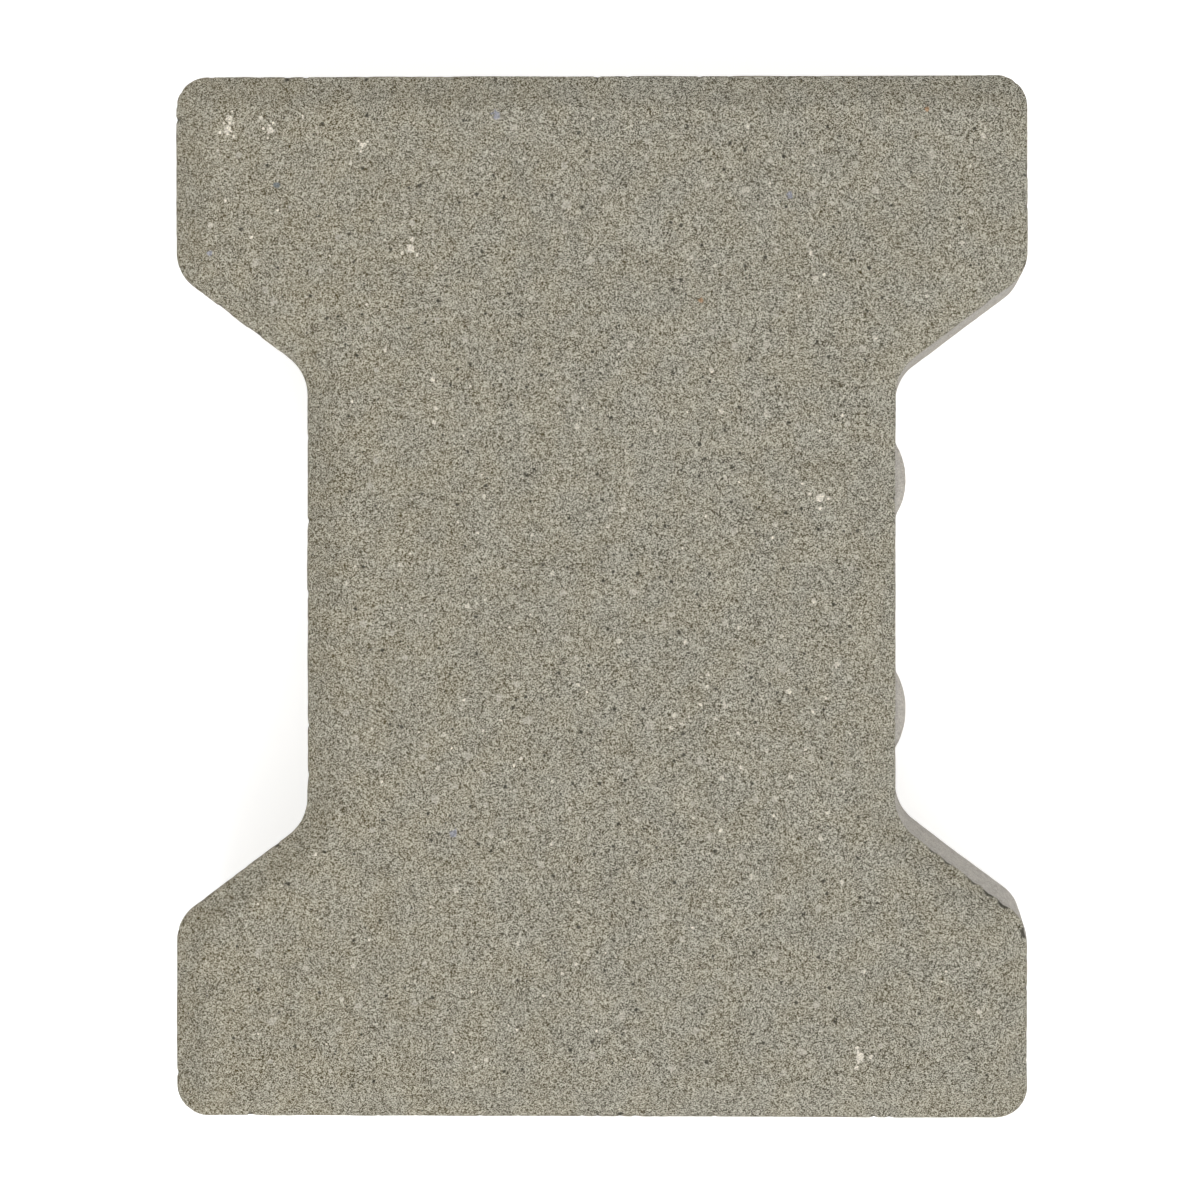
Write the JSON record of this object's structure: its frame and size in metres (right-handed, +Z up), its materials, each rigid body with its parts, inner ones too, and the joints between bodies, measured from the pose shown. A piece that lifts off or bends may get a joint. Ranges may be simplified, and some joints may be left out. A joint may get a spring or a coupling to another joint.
{
  "type": "interlocking concrete paving stone",
  "caption": "I-shaped interlocking concrete paving stone with a bevelled wearing face, side recesses that lock with neighbouring stones, and low spacer ribs on the waist walls.",
  "frame": {"origin": "middle of the bedding face, level with the floor that the stone lies on", "axes": "+X across the heads, +Y along the stone's length, +Z up from the bedding face to the wearing face"},
  "size_m": [0.162, 0.198, 0.08],
  "materials": {
    "concrete": "matt, fine-grained grey-beige concrete with open pores and pale sand specks"
  },
  "bodies": {
    "root": {"paving_stone": "concrete"}
  },
  "joints": []
}
